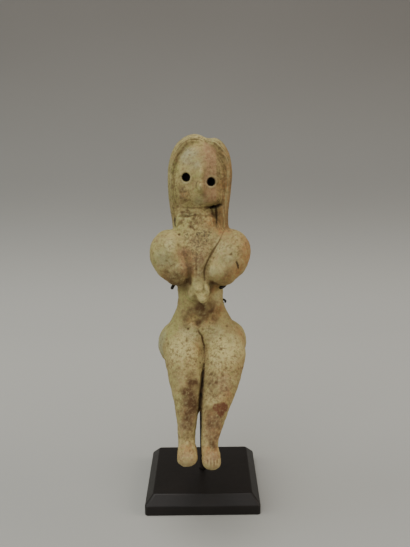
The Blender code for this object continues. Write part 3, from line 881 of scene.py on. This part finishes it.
def mark_hollows(clay):
    """Marks dirt and painted shade where the skin is lower than its surroundings, and wear where
    it is higher.
    """
    clean = np.maximum(0.7 * clay.marks["hair"], 0.92 * clay.near(FACE_EDGE, 3.4))
    clean = np.maximum(clean, 0.6 * clay.blob((0.4, -16.8, 87.0), 4.0))
    for name, passes, reach in (("hollow", 5, 0.09), ("fold", 31, 0.55)):
        mean = neighbour_mean(clay.mesh, clay.points, passes)
        height = ((clay.points - mean) * clay.normals).sum(axis=1)
        clay.mark(name, smoothstep(0.0, 1.0, -height / reach) * (1 - clean))
        if name == "hollow":
            clay.mark("rubbed", smoothstep(0.2, 1.0, height / reach))


def make_figure(material):
    figure = fine_copy("figurine", "clay_figure", CLAY_VOXEL, 6)
    clay = Clay(figure.data)
    soften_cast(clay)
    clay.settle()
    comb_hair(clay)
    clay.settle()
    press_drawn_lines(clay)
    shape_boss(clay)
    shape_neck_band(clay)
    shape_nose(clay)
    shape_eyes(clay)
    shape_toes(clay)
    clay.settle()
    weather(clay)
    clay.settle()
    stain(clay)
    flush_face(clay)
    mark_hollows(clay)
    clay.store()
    figure.data.shade_smooth()
    figure.data.materials.append(material)
    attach(figure, "root")
    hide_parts("figurine")


# Stand


def make_block(material):
    """The block with its arrises softened by lacquer and handling."""
    block = welded_copy("base_block", "black_block")
    bm = bmesh.new()
    bm.from_mesh(block.data)
    bmesh.ops.dissolve_limit(bm, angle_limit=math.radians(1), verts=bm.verts, edges=bm.edges)
    bm.to_mesh(block.data)
    bm.free()
    block.data.shade_smooth()
    soft = block.modifiers.new("soft arrises", "BEVEL")
    soft.width = 0.35 * MM
    soft.segments = 3
    soft.limit_method = "ANGLE"
    soft.angle_limit = math.radians(24)
    mesh = evaluated_mesh(block)
    block.modifiers.clear()
    block.data = mesh
    for face in mesh.polygons:
        face.use_smooth = face.area < FLAT_FACE_AREA and face.normal.z < LEVEL_NORMAL
    mesh.materials.clear()
    mesh.materials.append(material)
    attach(block, "root")
    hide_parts("base_block")


def make_rod(material):
    rod = fine_copy("support_rod", "bent_rod", ROD_VOXEL, 5, levels=0)
    rod.data.shade_smooth()
    rod.data.materials.append(material)
    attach(rod, "root")
    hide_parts("support_rod")


# Materials


class Value:
    """A shader socket that takes part in arithmetic."""

    def __init__(self, paint, socket):
        self.paint = paint
        self.socket = socket

    def maths(self, operation, *others):
        return self.paint.node("ShaderNodeMath", {"operation": operation}, [self, *others])

    def __add__(self, other):
        return self.maths("ADD", other)

    def __sub__(self, other):
        return self.maths("SUBTRACT", other)

    def __mul__(self, other):
        return self.maths("MULTIPLY", other)

    def __rsub__(self, other):
        return self.paint.node("ShaderNodeMath", {"operation": "SUBTRACT"}, [other, self])

    __radd__ = __add__
    __rmul__ = __mul__

    def sine(self):
        return self.maths("SINE")

    def over(self, low, high):
        """0 below low, 1 above high, smooth in between. It falls instead if low is above high."""
        inputs = {"Value": self, "From Min": low, "From Max": high}
        return self.paint.node("ShaderNodeMapRange", {"interpolation_type": "SMOOTHSTEP"}, inputs)


class Paint:
    """One node material."""

    def __init__(self, name):
        self.material = bpy.data.materials.new(name)
        self.material.use_nodes = True
        self.tree = self.material.node_tree
        self.shader = self.tree.nodes["Principled BSDF"]

    def node(self, kind, settings=None, inputs=(), output=0):
        """A node, its settings made first, then its sockets by position or by name."""
        node = self.tree.nodes.new(kind)
        for name, setting in (settings or {}).items():
            setattr(node, name, setting)
        pairs = inputs.items() if isinstance(inputs, dict) else enumerate(inputs)
        for key, value in pairs:
            self.fill(node.inputs[key], value)
        return Value(self, node.outputs[output])

    def fill(self, socket, value):
        if isinstance(value, Value):
            self.tree.links.new(value.socket, socket)
        elif isinstance(value, tuple) and len(value) == 3 and socket.type == "RGBA":
            socket.default_value = (*value, 1.0)
        else:
            socket.default_value = value

    def set(self, **values):
        for name, value in values.items():
            self.fill(self.shader.inputs[name.replace("_", " ")], value)

    def place(self):
        return self.node("ShaderNodeTexCoord", output="Object")

    def mark(self, name):
        return self.node("ShaderNodeAttribute", {"attribute_name": name}, output="Fac")

    def grain(self, size, detail=3.0, roughness=0.55, place=None):
        """Noise about 0.5 with lumps of this size in millimetres."""
        inputs = {
            "Vector": place or self.place(),
            "Scale": 1 / (size * MM),
            "Detail": detail,
            "Roughness": roughness,
        }
        return self.node("ShaderNodeTexNoise", inputs=inputs)

    def stretch(self, x=1.0, y=1.0, z=1.0):
        return self.node("ShaderNodeMapping", inputs={"Vector": self.place(), "Scale": (x, y, z)})

    def mix(self, amount, below, above):
        """Two colours, the second laid over the first by this amount."""
        settings = {"data_type": "RGBA", "clamp_factor": True}
        return self.node("ShaderNodeMix", settings, {0: amount, 6: below, 7: above}, output=2)

    def bump(self, height, strength, distance):
        """Small relief, with its depth in millimetres."""
        inputs = {"Strength": strength, "Distance": distance * MM, "Height": height}
        return self.node("ShaderNodeBump", inputs=inputs)


BUFF = (0.425, 0.350, 0.142)
SAND = (0.330, 0.245, 0.100)
CHALK_AND_HIGHLIGHT = (0.480, 0.430, 0.210)
LICHEN = (0.320, 0.310, 0.105)
ORANGE_EARTH = (0.370, 0.190, 0.066)
BROWN_STAIN_AND_SHADE = (0.088, 0.044, 0.018)
RED_EARTH = (0.140, 0.050, 0.024)
SOOT = (0.088, 0.065, 0.040)
DIRT_AND_SHADE = (0.150, 0.098, 0.042)
OLIVE_DIRT = (0.165, 0.120, 0.046)
ASH_CLAY = (0.350, 0.360, 0.215)
HIGHLIGHT_BUFF = (0.620, 0.520, 0.215)
RIM_CLAY = (0.330, 0.265, 0.150)
PINK_CLAY = (0.335, 0.195, 0.106)
DUSKY_CLAY = (0.265, 0.165, 0.092)
DEEP_SHADOW = (0.020, 0.015, 0.010)
SOCKET_DARK = (0.006, 0.005, 0.004)
BLACK_LACQUER = (0.0063, 0.0044, 0.0035)
BROWN_LACQUER = (0.0090, 0.0064, 0.0052)
WORN_LACQUER = (0.0125, 0.0081, 0.0059)
GREY_DUST = (0.045, 0.041, 0.036)
BLACKENED_STEEL = (0.012, 0.011, 0.010)
RUBBED_STEEL = (0.035, 0.024, 0.016)


def paint_clay():
    """Buff clay tinted by the ground it lay in, with dirt and painted shade in its hollows, chalky
    on its heights, and painted highlights in places.
    """
    paint = Paint("fired_clay")
    broad = paint.grain(9.0, detail=4.0)
    patchy = paint.grain(2.4, detail=5.0, roughness=0.65)
    mottle = paint.grain(1.25, detail=5.0, roughness=0.7)
    speck = paint.grain(0.8, detail=4.0, roughness=0.6)
    fine = paint.grain(0.3, detail=3.0)
    tint = paint.grain(0.95, detail=4.0, roughness=0.65)
    streak = paint.grain(1.6, detail=4.0, place=paint.stretch(1.0, 1.0, 0.45))
    hair = paint.mark("hair")
    strands = (paint.mark("strand") * (2 * math.pi / PAINTED_STRAND_WIDTH)).sine() * 0.5 + 0.5
    worn = paint.mark("worn")

    colour = paint.mix(broad.over(0.38, 0.62), BUFF, SAND)
    colour = paint.mix(patchy.over(0.5, 0.72) * 0.45, colour, CHALK_AND_HIGHLIGHT)
    ragged = patchy.over(0.30, 0.62)
    colour = paint.mix(paint.mark("green") * (ragged * 0.45 + 0.45), colour, LICHEN)
    colour = paint.mix(paint.mark("rust") * (ragged * 0.35 + 0.60), colour, ORANGE_EARTH)
    # Pale clay, and painted highlights where the pale patches lie on the masses, the boss and the
    # thighs
    pale = paint.mark("pale") * (patchy.over(0.36, 0.56) * 0.45 + 0.45)
    colour = paint.mix(pale, colour, CHALK_AND_HIGHLIGHT)
    # Painted highlights
    bright = paint.mark("bright") * (patchy.over(0.34, 0.60) * 0.3 + 0.62)
    colour = paint.mix(bright, colour, HIGHLIGHT_BUFF)
    cool = paint.mark("cool") * (patchy.over(0.36, 0.56) * 0.3 + 0.6)
    colour = paint.mix(cool, colour, ASH_CLAY)
    colour = paint.mix(tint.over(0.52, 0.64) * 0.5, colour, LICHEN)
    colour = paint.mix(tint.over(0.48, 0.36) * 0.4, colour, PINK_CLAY)
    flush = paint.mark("flush") * (patchy.over(0.34, 0.62) * 0.35 + 0.5)
    colour = paint.mix(flush, colour, PINK_CLAY)
    dusk = paint.mark("dusk") * (mottle.over(0.36, 0.60) * 0.5 + 0.4)
    colour = paint.mix(dusk, colour, DUSKY_CLAY)
    colour = paint.mix(paint.mark("rim") * 0.6, colour, RIM_CLAY)
    colour = paint.mix(mottle.over(0.48, 0.64) * (worn * 0.48 + 0.32), colour, DIRT_AND_SHADE)
    colour = paint.mix(mottle.over(0.46, 0.32) * (worn * 0.35 + 0.15), colour, CHALK_AND_HIGHLIGHT)
    # Brown stains, and painted shade under the masses and around the boss
    brown = paint.mark("brown") * (mottle.over(0.28, 0.52) * 0.28 + 0.72)
    colour = paint.mix(brown, colour, BROWN_STAIN_AND_SHADE)
    red = paint.mark("red").over(0.32, 0.85) * (speck.over(0.3, 0.55) * 0.25 + 0.75)
    colour = paint.mix(red, colour, RED_EARTH)
    colour = paint.mix(paint.mark("soot") * speck.over(0.43, 0.62) * 0.9, colour, SOOT)
    # Darker in the valleys between the hair strands
    colour = paint.mix(hair * (1 - strands) * mottle.over(0.30, 0.55) * 0.68, colour, DIRT_AND_SHADE)
    colour = paint.mix(streak.over(0.56, 0.74) * 0.35, colour, DIRT_AND_SHADE)
    sparse = broad.over(0.38, 0.60) * 0.55 + 0.45
    colour = paint.mix(speck.over(0.550, 0.65) * sparse * (worn * 0.45 + 0.25), colour, OLIVE_DIRT)
    colour = paint.mix(hair * speck.over(0.50, 0.62) * 0.45, colour, DIRT_AND_SHADE)
    # Painted shade in broad folds, and dirt with painted shade in small hollows
    colour = paint.mix(paint.mark("fold") * 0.22, colour, DIRT_AND_SHADE)
    colour = paint.mix(paint.mark("hollow") * 0.5, colour, DIRT_AND_SHADE)
    colour = paint.mix(paint.mark("rubbed") * 0.35, colour, CHALK_AND_HIGHLIGHT)
    # Grime, and painted shade in the slits and gaps of the drawn lines
    colour = paint.mix(paint.mark("grime_and_shade"), colour, BROWN_STAIN_AND_SHADE)
    # Painted shadow inside the deepest lines
    colour = paint.mix(paint.mark("deep"), colour, DEEP_SHADOW)
    colour = paint.mix(paint.mark("socket"), colour, SOCKET_DARK)

    height = speck * 0.5 + fine * 0.35 + strands * hair * 0.5 - speck.over(0.585, 0.72) * 0.8
    paint.set(
        Base_Color=colour,
        Roughness=0.84 + 0.16 * patchy,
        Normal=paint.bump(height, 0.85, 0.17),
    )
    paint.shader.inputs["Specular IOR Level"].default_value = 0.3
    return paint.material


def paint_block():
    """Black lacquer over fine wood grain, dusted and a little brown where it has worn."""
    paint = Paint("blackened_wood")
    wood = paint.grain(1.1, detail=5.0, place=paint.stretch(0.08, 1.0, 1.0))
    dust = paint.grain(2.2, detail=6.0, roughness=0.7)
    broad = paint.grain(14.0, detail=2.0)
    colour = paint.mix(broad.over(0.35, 0.65), BLACK_LACQUER, BROWN_LACQUER)
    colour = paint.mix(wood.over(0.5, 0.75) * 0.5, colour, WORN_LACQUER)
    colour = paint.mix(dust.over(0.66, 0.78) * 0.35, colour, GREY_DUST)
    paint.set(
        Base_Color=colour,
        Roughness=0.34 + 0.16 * dust + 0.08 * broad,
        Normal=paint.bump(wood * 0.7 + dust * 0.3, 0.25, 0.05),
    )
    paint.shader.inputs["Specular IOR Level"].default_value = 0.38
    return paint.material


def paint_rod():
    """Blackened steel, brown where the black has rubbed thin."""
    paint = Paint("blackened_steel")
    worn = paint.grain(1.8, detail=4.0)
    colour = paint.mix(worn.over(0.45, 0.7), BLACKENED_STEEL, RUBBED_STEEL)
    paint.set(
        Base_Color=colour,
        Metallic=0.6,
        Roughness=0.42 + 0.25 * worn,
        Normal=paint.bump(worn, 0.2, 0.04),
    )
    return paint.material


# Studio


def paint_backdrop():
    """Pale grey card with painted shade, lightest behind the block and darker as it rises behind
    the figure.
    """
    paint = Paint("pale_card")
    across = paint.node("ShaderNodeSeparateXYZ", inputs=[paint.place()], output="Y")
    up = paint.node("ShaderNodeSeparateXYZ", inputs=[paint.place()], output="Z")
    along = across + up
    # Painted shade: the card gets darker as it rises behind the figure
    colour = paint.mix(along.over(-0.05, 0.20), (0.400, 0.398, 0.373), (0.480, 0.477, 0.447))
    colour = paint.mix(along.over(0.22, 0.60), colour, (0.245, 0.240, 0.224))
    colour = paint.mix(along.over(0.55, 0.95), colour, (0.184, 0.174, 0.160))
    colour = paint.mix(paint.grain(160.0, detail=1.0) * 0.04, colour, (0.6, 0.6, 0.6))
    paint.set(Base_Color=colour, Roughness=0.9)
    paint.shader.inputs["Specular IOR Level"].default_value = 0.1
    return paint.material


def make_backdrop():
    """One sheet that lies flat under the block and curves up behind it."""
    half_width, front, bend_start, bend_radius, top = 1.6, -1.2, 0.22, 0.42, 1.5
    profile = [(front, 0.0), (-0.3, 0.0), (0.0, 0.0)]
    for i in range(25):
        turn = math.radians(90 * i / 24)
        along = bend_start + bend_radius * math.sin(turn)
        profile.append((along, bend_radius * (1 - math.cos(turn))))
    profile.append((bend_start + bend_radius, top))
    bm = bmesh.new()
    left = [bm.verts.new((-half_width, y, z)) for y, z in profile]
    right = [bm.verts.new((half_width, y, z)) for y, z in profile]
    for i in range(len(profile) - 1):
        bm.faces.new((left[i], right[i], right[i + 1], left[i + 1]))
    mesh = bpy.data.meshes.new("pale_sweep")
    bm.to_mesh(mesh)
    bm.free()
    mesh.shade_smooth()
    mesh.materials.append(paint_backdrop())
    new_object("pale_sweep", mesh)


def add_light(name, place, target, size, power, colour):
    light = bpy.data.lights.new(name, "AREA")
    light.shape = "RECTANGLE"
    light.size, light.size_y = size
    light.energy = power
    light.color = colour
    lamp = bpy.data.objects.new(name, light)
    lamp.location = place
    lamp.rotation_euler = (Vector(target) - Vector(place)).to_track_quat("-Z", "Y").to_euler()
    bpy.context.scene.collection.objects.link(lamp)


def light_studio():
    world = bpy.data.worlds.new("studio")
    bpy.context.scene.world = world
    world.use_nodes = True
    background = world.node_tree.nodes["Background"]
    background.inputs["Color"].default_value = (1.0, 0.99, 0.97, 1.0)
    background.inputs["Strength"].default_value = 0.37
    figure_middle = (0.0, -0.01, 0.08)
    add_light("overhead", (-0.10, -0.10, 0.85), figure_middle, (0.7, 0.6), 4.8, (1.0, 0.99, 0.96))
    add_light("front", (-0.35, -0.75, 0.45), figure_middle, (0.5, 0.5), 1.7, (1.0, 0.99, 0.96))
    add_light("right", (0.75, -0.18, 0.35), figure_middle, (0.4, 0.5), 2.4, (1.0, 0.88, 0.74))
    add_light("left", (-0.75, -0.16, 0.40), figure_middle, (0.4, 0.5), 1.6, (0.94, 1.0, 0.92))


def add_camera():
    camera = bpy.data.cameras.new("photograph")
    camera.sensor_width = SENSOR_WIDTH
    camera.lens = SENSOR_WIDTH * FOCAL_PIXELS / PHOTO_HEIGHT
    camera.clip_start = 0.01
    holder = bpy.data.objects.new("photograph", camera)
    holder.matrix_world = (
        Matrix.Translation(CAMERA_PLACE)
        @ Matrix.Rotation(math.radians(CAMERA_YAW), 4, "Z")
        @ Matrix.Rotation(math.radians(90 - CAMERA_PITCH), 4, "X")
        @ Matrix.Rotation(math.radians(CAMERA_ROLL), 4, "Z")
    )
    bpy.context.scene.collection.objects.link(holder)
    bpy.context.scene.camera = holder


make_figure(paint_clay())
make_block(paint_block())
make_rod(paint_rod())
make_backdrop()
light_studio()
add_camera()
